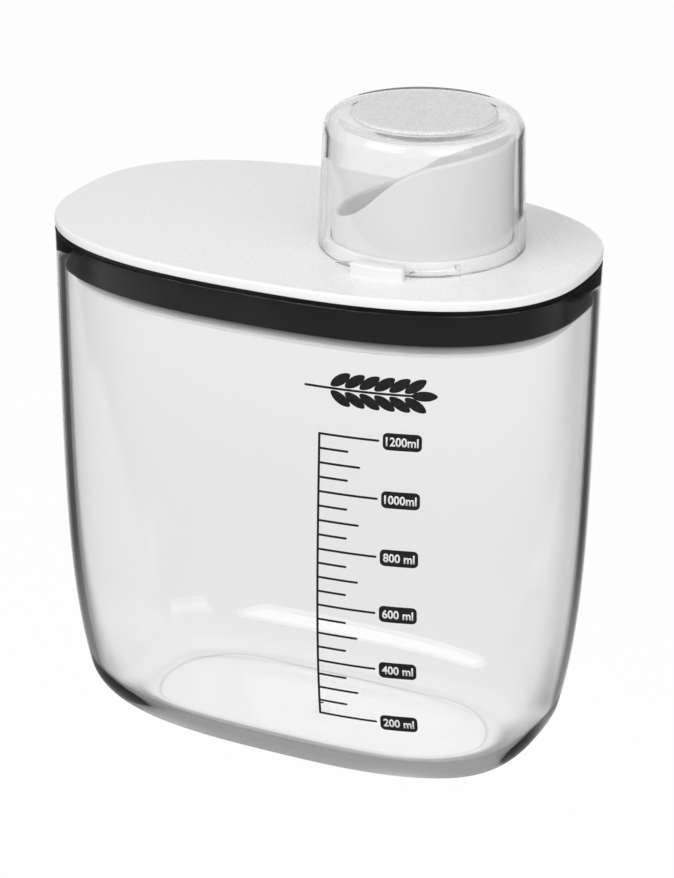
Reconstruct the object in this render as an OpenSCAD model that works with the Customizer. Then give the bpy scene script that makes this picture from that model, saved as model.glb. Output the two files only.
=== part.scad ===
// Dry-food keeper: a clear oblong jar, a white sealed lid with a pouring spout,
// and a clear measuring cup that caps the spout and locks on it with a bayonet.
// Millimetres. The origin is the middle of the base, +X points to the spout end.

/* [Outline] */
// Half the length of the rim outline
rim_half_x = 78.4; // [64:0.2:110]
// Half the width of the rim outline
rim_half_y = 49; // [42:0.2:70]
// Squareness of the outline: 2 is an ellipse, more is boxier
squareness = 2.56; // [2.2:0.02:3]
// How much squarer the jar's outline is at its base
base_square = 0.12; // [0:0.01:0.4]

/* [Jar] */
// Height of the jar from its base to its rim
jar_h = 149; // [100:1:220]
// Thickness of the jar's side walls
jar_wall = 2.5; // [1.6:0.1:3.5]
// Thickness of the jar's floor
jar_floor = 2.4; // [1.6:0.1:4]
// Even draft of each side, from rim to base
side_draft = 1.5; // [0.5:0.1:5]
// Further inset of each side close to the base
base_tuck = 9.7; // [3:0.1:12]
// How late the tuck starts: a higher power keeps the side straight for longer
tuck_power = 5.2; // [3:0.1:8]
// Radius that turns the side under into the base
base_r = 13; // [6:0.5:16]
// Width of the foot ring that the jar stands on
foot_w = 3; // [2:0.5:6]
// Depth of the hollow inside the foot ring
foot_hollow = 0.6; // [0.3:0.1:1.2]
// Rounding of the rim's two edges
rim_round = 0.4; // [0.2:0.1:0.8]

/* [Gasket] */
// Thickness of the flange that lies on the jar's rim
flange_t = 1.2; // [0.8:0.1:2]
// Depth of the sealing band below the rim
band_h = 9.5; // [6:0.5:14]
// Thickness of each of the band's two legs
leg_t = 1.3; // [1:0.1:1.5]
// Width of the whole band, from the jar's wall to the plug
band_w = 3.4; // [3.2:0.1:4.5]
// Thickness of the web that joins the legs at the top
web_t = 2.2; // [1.2:0.1:3]

/* [Lid] */
// Thickness of the cover plate
cover_t = 2.7; // [2.2:0.1:5]
// Rounding of the cover's top edge
cover_round = 0.7; // [0.3:0.1:1]
// Thickness of the plug's wall
plug_wall = 1.8; // [1.2:0.1:2.5]
// How far the plug shows below the gasket
plug_show = 4.2; // [1.5:0.1:6]
// Reach of the lip that holds the gasket up on the plug
plug_lip = 0.7; // [0.4:0.1:1.2]
// Thickness of the cover's rib that the plug snaps round
rib_t = 1.6; // [1:0.1:2.5]
// Depth of that rib below the cover plate
rib_h = 6; // [3:0.5:9]

/* [Spout] */
// Distance of the spout's axis from the middle of the lid
spout_x = 29.5; // [18:0.5:34]
// Outer radius of the spout
spout_r = 24.8; // [20:0.1:26]
// Thickness of the spout's wall
spout_wall = 2; // [1.4:0.1:2.6]
// Height of the middle of the S-shaped rim above the lid
rim_mid = 20.3; // [19:0.1:22]
// Rise of the steep part of the S, above and below its middle
rim_rise = 8.5; // [4:0.1:9]
// Run of the steep part, along the lid
rim_run = 10.3; // [6:0.1:14]
// Slope of the gentle ends of the S
rim_slope = 0.124; // [0.05:0.002:0.16]
// Shift of the steep part away from the pouring side
rim_shift = 2.5; // [0:0.5:5]
// Reach of the flange under the cover
spout_flange = 4.2; // [3:0.1:5]
// Thickness of that flange
spout_flange_t = 1.5; // [1:0.1:2.5]

/* [Cup seal] */
// Thickness of the soft ring between spout and cup
seal_t = 1.4; // [1:0.1:1.6]
// Height of the soft ring
seal_h = 3.5; // [2:0.1:5]

/* [Measuring cup] */
// Height of the cup's shoulder above the lid
cup_h = 37.3; // [36:0.1:50]
// Draft of the cup's side, from mouth to top
cup_draft = 1.1; // [0.4:0.1:1.5]
// Thickness of the cup's wall
cup_wall = 1.8; // [1.4:0.1:2.2]
// Thickness of the cup's top
cup_top_t = 2.2; // [1.4:0.1:3]
// Rounding of the cup's shoulder
cup_round = 4.7; // [2.5:0.1:5]
// Dish of the top, from the shoulder down to the raised disc
top_dish = 0.5; // [0.2:0.1:0.8]
// Radius of the raised frosted disc on the top
disc_r = 20; // [12:0.1:21]
// Height of that disc over the dish
disc_h = 0.9; // [0.4:0.05:1.5]
// Width of the disc's bevelled edge
disc_edge = 0.8; // [0.4:0.1:1.5]
// Radius of the round moulding mark in the middle of the disc
dimple_r = 3.8; // [1:0.1:6]
// Depth of that mark
dimple_d = 0.15; // [0.1:0.05:0.4]

/* [Bayonet] */
// Direction of the front catch round the spout
catch_angle = -88.5; // [-95:0.5:-80]
// Half the angle that a catch covers
catch_half = 14; // [8:0.5:18]
// Height of a catch above the lid
catch_h = 3.5; // [3.4:0.1:6]
// Thickness of a catch in front of its groove
catch_t = 2.9; // [1.8:0.1:4]
// Rounding of a catch's outer edges
catch_round = 0.9; // [0.3:0.1:1.2]
// Depth of a catch's tenon in the cover
tenon_d = 1.5; // [1:0.1:1.8]
// Height of the cup's lugs
lug_h = 2.2; // [1.4:0.1:2.6]
// Reach of the lugs out of the cup's wall
lug_out = 1.1; // [0.8:0.1:1.6]
// Bevel of the lugs' outer edge
lug_soft = 0.7; // [0.3:0.1:0.8]
// Angle of the lug that slides under a catch
lug_arc = 25; // [12:0.5:32]
// Angle of the ramp that guides the cup down beside a catch
ramp_arc = 14.5; // [8:0.5:20]
// Angle of the stop at the end of each lug
stop_arc = 2; // [1:0.5:4]
// Height of that stop
stop_h = 3.2; // [2.8:0.1:3.6]
// Free angle between a catch and the lugs beside it
catch_free = 2; // [1:0.5:4]

/* [Fits] */
// Gap between the jar's wall and the gasket
seal_gap = 0.3; // [0.2:0.05:0.5]
// Gap between pieces that are pressed together
snug = 0.1; // [0.05:0.05:0.2]
// Gap round pieces that turn
running = 0.3; // [0.25:0.05:0.5]

/* [Hidden] */
$fn = 96;

// Points round each oblong ring, rings up each side, and steps round each fillet
outline_n = 80;
side_n = 9;
fillet_n = 8;
// Points round the spout
spout_n = 72;

// Heights, from the base up
cover_z = jar_h + flange_t;
lid_z = cover_z + cover_t;
plug_z = jar_h - band_h - plug_show;
// Insets from the rim outline, measured square to it
band_in = jar_wall + seal_gap;
plug_in = band_in + band_w + snug;
rib_in = plug_in + plug_wall + snug;
foot_in = side_draft + base_tuck + base_r;
// Radii about the spout's axis
bore_r = spout_r + snug;
flange_r = spout_r + spout_flange;
seal_r = spout_r + running;
cup_r = seal_r + seal_t + running + cup_wall;
lug_r = cup_r + lug_out;
groove_r = lug_r + running;
catch_r = groove_r + catch_t;
// Angles of the lugs, from the middle of a catch
lug_from = catch_half + catch_free;
lug_to = lug_from + lug_arc;

// Point of the outline of squareness q in direction a, moved inwards by d square to it
function outline_point(a, d, q) =
    let (
        c = cos(a),
        s = sin(a),
        k = pow(pow(abs(c), q) + pow(abs(s), q), -1 / q),
        n = [
            sign(c) * pow(abs(c) * k, q - 1) / rim_half_x,
            sign(s) * pow(abs(s) * k, q - 1) / rim_half_y
        ]
    )
    [rim_half_x * c * k, rim_half_y * s * k] - d * n / norm(n);

// The whole outline, moved inwards by d
function outline(d, q = squareness) =
    [for (i = [0 : outline_n - 1]) outline_point(i * 360 / outline_n, d, q)];

// The same outline as a ring of points at height z
function ring(d, z) = [for (p = outline(d)) [p[0], p[1], z]];

// Ring of the jar at height z, squarer towards the base
function jar_ring(d, z) =
    let (q = squareness + base_square * (1 - z / jar_h))
    [for (p = outline(d, q)) [p[0], p[1], z]];

// Inset of the jar's side at height z, without the fillet at the base
function side_in(z) =
    let (down = 1 - z / jar_h)
    side_draft * down + base_tuck * pow(down, tuck_power);

// Height of ring i on a side that starts at height from: closer rings where the tuck bends
function side_z(from, i) = from + (jar_h - rim_round - from) * pow(i / side_n, 1.5);

// Height of the S-shaped rim over the lid, at distance x along the lid from the axis
function rim_z(x) =
    let (e = exp(2 * (x + rim_shift) / rim_run))
    rim_mid + rim_slope * x + rim_rise * (e - 1) / (e + 1);

// Skin over a stack of rings. A loop joins the last ring to the first; otherwise the ends close.
module skin(rings, loop = false) {
    n = len(rings[0]);
    m = len(rings);
    points = [for (r = rings) each r];
    sides = [
        for (j = [0 : m - (loop ? 1 : 2)], i = [0 : n - 1])
            let (k = (i + 1) % n, at = j * n, up = ((j + 1) % m) * n)
            each [[at + i, up + k, at + k], [at + i, up + i, up + k]]
    ];
    ends = loop ? [] : [[for (i = [0 : n - 1]) i], [for (i = [n - 1 : -1 : 0]) (m - 1) * n + i]];
    polyhedron(points, concat(sides, ends), convexity = 10);
}

// Band that follows the outline: each section point is [inset, height]
module outline_band(section) {
    skin([for (p = section) ring(p[0], p[1])], loop = true);
}

// Flat-ended block along an arc about Z: sections is a list of [angle, [[r, z], ...]]
module arc_block(sections) {
    skin([for (s = sections) [for (p = s[1]) [p[0] * cos(s[0]), p[0] * sin(s[0]), p[1]]]]);
}

// Part of a ring about Z, half an angle to each side of +X, h high
module arc_bar(r0, r1, half, h) {
    rotate([0, 0, -half])
        rotate_extrude(angle = 2 * half)
            translate([r0, 0])
                square([r1 - r0, h]);
}

// Outline of such a part seen from above, with its corners rounded
module arc_plan(r0, r1, half, corner) {
    step = half / 6;
    arc = [for (a = [-half : step : half]) [cos(a), sin(a)]];
    back = [for (i = [len(arc) - 1 : -1 : 0]) arc[i]];
    offset(r = corner)
        offset(delta = -corner)
            polygon(concat(r1 * arc, r0 * back));
}

// Moves its children to the spout's axis, at the height of the lid's top
module on_spout() {
    translate([spout_x, 0, lid_z])
        children();
}

// Places its children at the front catch and, turned half round, at the rear one
module at_both_catches() {
    for (turn = [0, 180])
        rotate([0, 0, catch_angle + turn])
            children();
}

// Clear jar with tucked sides, turned-under base and foot ring
module container() {
    inner_r = max(base_r - jar_wall, 1);
    outside = concat(
        [
            for (i = [0 : fillet_n])
                let (a = 90 * i / fillet_n, z = base_r * (1 - cos(a)))
                jar_ring(side_in(z) + base_r * (1 - sin(a)), z)
        ],
        [
            for (i = [1 : side_n])
                let (z = side_z(base_r, i))
                jar_ring(side_in(z), z)
        ]
    );
    inside = concat(
        [
            for (i = [side_n : -1 : 1])
                let (z = side_z(jar_floor + inner_r, i))
                jar_ring(side_in(z) + jar_wall, z)
        ],
        [
            for (i = [fillet_n : -1 : 0])
                let (a = 90 * i / fillet_n, z = jar_floor + inner_r * (1 - cos(a)))
                jar_ring(side_in(z) + jar_wall + inner_r * (1 - sin(a)), z)
        ]
    );
    color([0.9, 0.93, 0.94, 0.35])
        skin(concat(
            [jar_ring(foot_in + foot_w + foot_hollow, foot_hollow), jar_ring(foot_in + foot_w, 0)],
            outside,
            [jar_ring(rim_round, jar_h), jar_ring(jar_wall - rim_round, jar_h)],
            inside
        ));
}

// Black seal: a flange on the rim and a band of two legs between the jar and the plug
module gasket() {
    leg_end = 0.4;
    inner = band_in + band_w;
    color([0.09, 0.09, 0.1])
        translate([0, 0, jar_h])
            outline_band([
                [0.1, 0],
                [0.1, flange_t],
                [inner, flange_t],
                [inner, -band_h],
                [inner - leg_t, -band_h],
                [inner - leg_t, -web_t],
                [band_in + leg_t, -web_t],
                [band_in + leg_t, -band_h],
                [band_in + leg_end, -band_h],
                [band_in, leg_end - band_h],
                [band_in, 0]
            ]);
}

// White cover plate with the spout's hole, pockets for the catches and ribs underneath
module lid_cover() {
    color([0.95, 0.95, 0.95]) {
        difference() {
            skin([
                ring(0, cover_z),
                ring(0, lid_z - cover_round),
                ring(0.3 * cover_round, lid_z - 0.3 * cover_round),
                ring(cover_round, lid_z)
            ]);
            translate([spout_x, 0, cover_z - 1])
                cylinder(r = bore_r, h = cover_t + 2);
            on_spout()
                at_both_catches()
                    catch_tenon(snug);
        }
        translate([0, 0, cover_z - rib_h])
            linear_extrude(rib_h)
                difference() {
                    polygon(outline(rib_in));
                    polygon(outline(rib_in + rib_t));
                }
        translate([spout_x, 0, cover_z - spout_flange_t - 1])
            difference() {
                cylinder(r = flange_r + snug + rib_t, h = spout_flange_t + 1);
                translate([0, 0, -1])
                    cylinder(r = flange_r + snug, h = spout_flange_t + 3);
            }
    }
}

// White plug wall under the cover, with the lip that holds the gasket
module lid_plug() {
    lip_t = 1;
    soft = 0.5;
    color([0.86, 0.87, 0.88])
        outline_band([
            [plug_in, plug_z + lip_t + plug_lip],
            [plug_in, cover_z],
            [plug_in + plug_wall, cover_z],
            [plug_in + plug_wall, plug_z + soft],
            [plug_in + plug_wall - soft, plug_z],
            [plug_in - plug_lip + soft, plug_z],
            [plug_in - plug_lip, plug_z + soft],
            [plug_in - plug_lip, plug_z + lip_t]
        ]);
}

// White chute with an S-shaped rounded rim, and its flange under the cover
module spout() {
    half = spout_wall / 2;
    low = -cover_t - spout_flange_t;
    function top(a) = rim_z(spout_r * cos(a));
    lip = [for (b = [0 : 30 : 180]) [spout_r - half + half * cos(b), half * sin(b) - half]];
    function section(a) = concat(
        [
            [flange_r, low],
            [flange_r, -cover_t],
            [spout_r, -cover_t],
            [spout_r, 0]
        ],
        [for (p = lip) [p[0], top(a) + p[1]]],
        [[spout_r - spout_wall, low]]
    );
    count = len(section(0));
    sections = [for (i = [0 : spout_n - 1]) section(i * 360 / spout_n)];
    color([0.94, 0.94, 0.94])
        on_spout()
            skin([
                for (j = [0 : count - 1])
                    [
                        for (i = [0 : spout_n - 1])
                            let (a = i * 360 / spout_n, p = sections[i][j])
                            [p[0] * cos(a), p[0] * sin(a), p[1]]
                    ]
            ], loop = true);
}

// Soft ring that stands on the lid round the spout and seals the cup's mouth
module cup_seal() {
    bevel = 0.4;
    color([0.9, 0.9, 0.9, 0.8])
        on_spout()
            rotate_extrude()
                polygon([
                    [seal_r, 0],
                    [seal_r + seal_t, 0],
                    [seal_r + seal_t, seal_h - bevel],
                    [seal_r + seal_t - bevel, seal_h],
                    [seal_r, seal_h]
                ]);
}

// Section of the cup's wall and top, from its mouth to its axis
module cup_section() {
    r_top = cup_r - cup_draft;
    in_r = r_top - cup_wall;
    in_z = cup_h - cup_top_t;
    in_round = cup_round - cup_wall;
    dish_z = cup_h - top_dish;
    disc_z = dish_z + disc_h;
    shoulder = [for (a = [0 : 15 : 90]) [r_top - cup_round * (1 - cos(a)), cup_h - cup_round * (1 - sin(a))]];
    ceiling = [for (a = [90 : -15 : 0]) [in_r - in_round * (1 - cos(a)), in_z - in_round * (1 - sin(a))]];
    polygon(concat(
        [[cup_r - cup_wall, 0], [cup_r, 0]],
        shoulder,
        [
            [disc_r, dish_z],
            [disc_r, dish_z + 0.2],
            [disc_r - disc_edge, disc_z],
            [dimple_r, disc_z],
            [dimple_r - dimple_d, disc_z - dimple_d],
            [0, disc_z - dimple_d],
            [0, in_z]
        ],
        ceiling
    ));
}

// Section of a lug of height h, rooted in the cup's wall
function lug_section(h) =
    let (soft = min(lug_soft, h / 3))
    [[cup_r - cup_wall / 2, 0], [cup_r - cup_wall / 2, h], [lug_r - soft, h], [lug_r, h - soft], [lug_r, 0]];

// Lug that slides under a catch, the stop behind it, and the ramp on the catch's other side
module cup_lugs() {
    lead = 4;
    step = 3;
    low_h = 0.6 * lug_h;
    ramp_n = 5;
    arc_block([
        [lug_from, lug_section(low_h)],
        [lug_from + lead, lug_section(lug_h)],
        for (a = [lug_from + lead + step : step : lug_to - 1]) [a, lug_section(lug_h)],
        [lug_to, lug_section(lug_h)],
        [lug_to + 0.01, lug_section(stop_h)],
        [lug_to + stop_arc, lug_section(stop_h)]
    ]);
    arc_block([
        for (i = [0 : ramp_n])
            let (a = -lug_from - ramp_arc * (1 - i / ramp_n))
            [a, lug_section(0.3 + (lug_h - 0.3) * i / ramp_n)]
    ]);
}

// Clear measuring cup, upside down over the spout
module measuring_cup() {
    color([0.92, 0.94, 0.95, 0.3])
        on_spout() {
            rotate_extrude()
                cup_section();
            at_both_catches()
                cup_lugs();
        }
}

// Foot of a catch, let into the cover; grow widens it into the cover's pocket
module catch_tenon(grow = 0) {
    half = catch_half - 4;
    open = grow > 0 ? 1 : 0;
    translate([0, 0, -tenon_d - grow])
        arc_bar(groove_r + 0.5 - grow, catch_r - 0.8 + grow, half + 4 * grow, tenon_d + grow + open);
}

// White bayonet catch: a curved block with a groove that holds the cup's lug down
module bayonet_catch() {
    over_r = cup_r + running;
    under_z = lug_h + running;
    corner = catch_round;
    edge = [for (a = [0 : 30 : 90]) [catch_r - corner * (1 - cos(a)), catch_h - corner * (1 - sin(a))]];
    intersection() {
        rotate([0, 0, -catch_half])
            rotate_extrude(angle = 2 * catch_half)
                polygon(concat(
                    [[groove_r, 0], [catch_r, 0]],
                    edge,
                    [[over_r, catch_h], [over_r, under_z], [groove_r, under_z]]
                ));
        linear_extrude(catch_h)
            arc_plan(over_r - 3, catch_r, catch_half, corner);
    }
    catch_tenon();
}

// Catch on the side that faces the front
module cup_catch_front() {
    color([0.97, 0.97, 0.97])
        on_spout()
            rotate([0, 0, catch_angle])
                bayonet_catch();
}

// Its twin on the far side of the spout
module cup_catch_rear() {
    color([0.97, 0.97, 0.97])
        on_spout()
            rotate([0, 0, catch_angle + 180])
                bayonet_catch();
}

container();
gasket();
lid_cover();
lid_plug();
spout();
cup_seal();
measuring_cup();
cup_catch_front();
cup_catch_rear();
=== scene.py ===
"""Dresses the clear cereal keeper: jar with measuring scale, sealed white lid, spout and measuring cup.

Sizes are millimetres, as on the drawing, and become metres when points are placed.
The origin is the middle of the jar's base, +X is the spout end, -Y the printed side, +Z up.
"""

import logging
import math
from dataclasses import dataclass, replace
from enum import Enum
from typing import Callable, Dict, Iterable, List, Optional, Sequence, Tuple, Union

import bmesh
import bpy
from mathutils import Matrix, Vector

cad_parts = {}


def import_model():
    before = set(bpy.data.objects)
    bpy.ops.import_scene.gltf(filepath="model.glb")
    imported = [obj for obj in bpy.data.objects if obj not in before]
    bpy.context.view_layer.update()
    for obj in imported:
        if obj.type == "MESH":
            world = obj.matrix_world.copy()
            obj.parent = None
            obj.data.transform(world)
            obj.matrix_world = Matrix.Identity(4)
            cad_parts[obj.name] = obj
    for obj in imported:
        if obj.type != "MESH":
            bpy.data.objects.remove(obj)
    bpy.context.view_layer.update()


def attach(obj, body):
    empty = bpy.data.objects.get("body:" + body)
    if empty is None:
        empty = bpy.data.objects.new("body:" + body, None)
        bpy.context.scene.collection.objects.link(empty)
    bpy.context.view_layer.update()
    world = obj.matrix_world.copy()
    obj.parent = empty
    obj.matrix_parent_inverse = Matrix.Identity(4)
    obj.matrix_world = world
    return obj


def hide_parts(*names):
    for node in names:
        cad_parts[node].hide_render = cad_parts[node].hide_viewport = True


LOG = logging.getLogger("keeper")

MM = 0.001
SMOOTH_ANGLE = math.radians(32)
WELD = 0.002 * MM
NOISE_ENDS = (0.3, 0.7)
UPRIGHT = (math.pi / 2, 0, 0)

Point = Tuple[float, float, float]
Flat = Tuple[float, float]
Ring = List[Point]
Colour = Tuple[float, float, float, float]
Piece = bpy.types.Object
Material = bpy.types.Material
Socket = bpy.types.NodeSocket
Feed = Union[Socket, Vector, Point, Colour, float]


class Slot(Enum):
    """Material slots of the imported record."""

    JAR = "clear_jar"
    GASKET = "black_silicone"
    LID = "white_lid"
    PLUG = "white_plug"
    SPOUT = "white_spout"
    SEAL = "clear_silicone"
    CUP = "clear_cup"
    CATCH = "white_catch"


class Body(Enum):
    """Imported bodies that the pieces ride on."""

    JAR = "jar"
    LID = "lid"
    SEAL = "seal"
    CUP = "cup"


def grey(value: float) -> Colour:
    """Opaque neutral colour of one value."""
    return (value, value, value, 1.0)


def quarter(steps: int) -> List[Flat]:
    """Cosines and sines of equal steps from 0 to 90 degrees."""
    turns = [math.pi / 2 * step / steps for step in range(steps + 1)]
    return [(math.cos(turn), math.sin(turn)) for turn in turns]


def circle(radius: float, z: float, centre_x: float, steps: int) -> Ring:
    """Points of a level circle round a point of the X axis, in millimetres."""
    turns = [2 * math.pi * step / steps for step in range(steps)]
    return [(centre_x + radius * math.cos(turn), radius * math.sin(turn), z) for turn in turns]


# Modelling by hand, in code


def added(operator: Callable, **settings: object) -> Piece:
    """Adds an object with nothing else selected.

    Args:
        operator: Blender's operator that adds it.
        **settings: Its settings.

    Returns:
        The new object.
    """
    bpy.ops.object.select_all(action="DESELECT")
    operator(**settings)
    return bpy.context.active_object


def take_up(pieces: Sequence[Piece]) -> None:
    """Makes pieces the only selected objects and the first of them the active one.

    Args:
        pieces: The objects to work on.
    """
    bpy.ops.object.select_all(action="DESELECT")
    for piece in pieces:
        piece.select_set(True)
    bpy.context.view_layer.objects.active = pieces[0]


def start_edit(piece: Piece, select: str) -> bmesh.types.BMesh:
    """Enters edit mode.

    Args:
        piece: The object to work on.
        select: SELECT or DESELECT, for the whole mesh.

    Returns:
        The edit mesh.
    """
    take_up([piece])
    bpy.ops.object.mode_set(mode="EDIT")
    bpy.ops.mesh.select_all(action=select)
    return bmesh.from_edit_mesh(piece.data)


def end_edit() -> None:
    """Leaves edit mode."""
    bpy.ops.object.mode_set(mode="OBJECT")


def name_piece(piece: Piece, name: str) -> Piece:
    """Gives an object and its mesh the same name.

    Args:
        piece: The object to name.
        name: Its new name.

    Returns:
        The same object.
    """
    piece.name = name
    piece.data.name = name
    return piece


def close_up(piece: Piece) -> Piece:
    """Welds doubles, turns the faces outwards and shades the piece smooth by angle.

    Args:
        piece: An object in object mode.

    Returns:
        The same object.
    """
    start_edit(piece, "SELECT")
    bpy.ops.mesh.remove_doubles(threshold=WELD)
    bpy.ops.mesh.normals_make_consistent(inside=False)
    bpy.ops.mesh.select_all(action="DESELECT")
    end_edit()
    bpy.ops.object.shade_smooth_by_angle(angle=SMOOTH_ANGLE)
    return piece


def soften(section: Sequence[Flat], radius: float, steps: int = 3) -> List[Flat]:
    """Rounds every corner of a closed section.

    Args:
        section: Corner points of a closed polygon.
        radius: Length cut off each side of a corner, less on short sides.
        steps: Points on each rounded corner, less one.

    Returns:
        The rounded section.
    """
    longest_cut = 0.45
    rounded: List[Flat] = []
    for index, corner in enumerate(section):
        ends = []
        for other in (section[index - 1], section[(index + 1) % len(section)]):
            length = math.dist(corner, other)
            share = min(radius, longest_cut * length) / length
            ends.append(tuple(c + (o - c) * share for c, o in zip(corner, other)))
        for step in range(steps + 1):
            t = step / steps
            rounded.append(tuple(
                (1 - t) ** 2 * a + 2 * t * (1 - t) * c + t * t * b
                for a, c, b in zip(ends[0], corner, ends[1])
            ))
    return rounded


def skin(name: str, rings: Sequence[Ring], loop: bool) -> Piece:
    """Lays a circle primitive on the first ring and extrudes it through the others in edit mode.

    Args:
        name: Name of the new piece.
        rings: Rings with the same number of points, in millimetres.
        loop: True joins the last ring to the first, False caps both.

    Returns:
        The piece.
    """
    piece = added(bpy.ops.mesh.primitive_circle_add, vertices=len(rings[0]), radius=0.01)
    name_piece(piece, name)
    bpy.ops.object.mode_set(mode="EDIT")
    mesh = bmesh.from_edit_mesh(piece.data)
    place = mesh.verts.layers.int.new("place")
    for index, vert in enumerate(mesh.verts):
        vert[place] = index
    for number, ring in enumerate(rings):
        if number > 0:
            bpy.ops.mesh.extrude_edges_move()
        mesh = bmesh.from_edit_mesh(piece.data)
        place = mesh.verts.layers.int["place"]
        for vert in mesh.verts:
            if vert.select:
                vert.co = Vector(ring[vert[place]]) * MM
        bmesh.update_edit_mesh(piece.data)
    bpy.ops.mesh.select_all(action="DESELECT")
    bpy.ops.mesh.select_non_manifold()
    if loop:
        bpy.ops.mesh.bridge_edge_loops()
    else:
        bpy.ops.mesh.fill_holes(sides=0)
    layers = bmesh.from_edit_mesh(piece.data).verts.layers.int
    layers.remove(layers["place"])
    end_edit()
    return close_up(piece)


def spun_block(
    name: str, section: Sequence[Flat], centre: Point, start: float, sweep: float, steps: int
) -> Piece:
    """Spins a closed section about a vertical axis into a block with flat ends.

    Args:
        name: Name of the new piece.
        section: Points as radius and height over the centre, in millimetres.
        centre: A point of the axis, in millimetres.
        start: Angle of the first end, in degrees.
        sweep: Angle from the first end to the last, in degrees.
        steps: Steps of the spin.

    Returns:
        The block.
    """
    piece = added(
        bpy.ops.mesh.primitive_circle_add, vertices=len(section), radius=0.01, fill_type="NGON"
    )
    mesh = start_edit(name_piece(piece, name), "SELECT")
    turn = math.radians(start)
    for vert, (radius, height) in zip(list(mesh.verts), section):
        out = Vector((radius * math.cos(turn), radius * math.sin(turn), height))
        vert.co = (Vector(centre) + out) * MM
    bmesh.update_edit_mesh(piece.data)
    bpy.ops.mesh.duplicate()
    bpy.ops.mesh.spin(
        steps=steps, angle=-math.radians(sweep), center=tuple(c * MM for c in centre), axis=(0, 0, 1)
    )
    end_edit()
    return close_up(piece)


@dataclass(frozen=True)
class Outline:
    """Oblong outline of the jar's rim and the lid, a superellipse."""

    half_x: float = 78.4
    half_y: float = 49.0
    squareness: float = 2.56
    steps: int = 288
    front_margin: float = 0.05
    halvings: int = 40

    def point(self, turn: float, inset: float) -> Flat:
        """Point of the outline, moved inwards square to it.

        Args:
            turn: Direction from the middle, in radians.
            inset: Distance inwards, in millimetres.

        Returns:
            Its x and y in millimetres.
        """
        c = math.cos(turn)
        s = math.sin(turn)
        power = self.squareness
        k = (abs(c) ** power + abs(s) ** power) ** (-1 / power)
        nx = math.copysign((abs(c) * k) ** (power - 1) / self.half_x, c)
        ny = math.copysign((abs(s) * k) ** (power - 1) / self.half_y, s)
        share = inset / math.hypot(nx, ny)
        return self.half_x * c * k - share * nx, self.half_y * s * k - share * ny

    def ring(self, inset: float, z: float) -> Ring:
        """The whole outline at one inset and height, anticlockwise."""
        turns = (2 * math.pi * step / self.steps for step in range(self.steps))
        return [(*self.point(turn, inset), z) for turn in turns]

    def front_y(self, x: float, inset: float) -> float:
        """Depth of the front wall at a distance along it.

        Args:
            x: Distance from the middle, in millimetres.
            inset: Inset of the wall there, in millimetres.

        Returns:
            The wall's y in millimetres.
        """
        low, high = -math.pi + self.front_margin, -self.front_margin
        for _ in range(self.halvings):
            middle = (low + high) / 2
            if self.point(middle, inset)[0] < x:
                low = middle
            else:
                high = middle
        return self.point((low + high) / 2, inset)[1]


def band(name: str, outline: Outline, section: Sequence[Flat]) -> Piece:
    """Closed band along an outline, with a section of insets and heights."""
    return skin(name, [outline.ring(inset, z) for inset, z in section], loop=True)


# Finishes


@dataclass(frozen=True)
class Noise:
    """Noise on the object coordinates: features per metre, octaves, and the scale of each axis."""

    scale: float
    detail: float = 2.0
    stretch: Point = (1, 1, 1)


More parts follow.
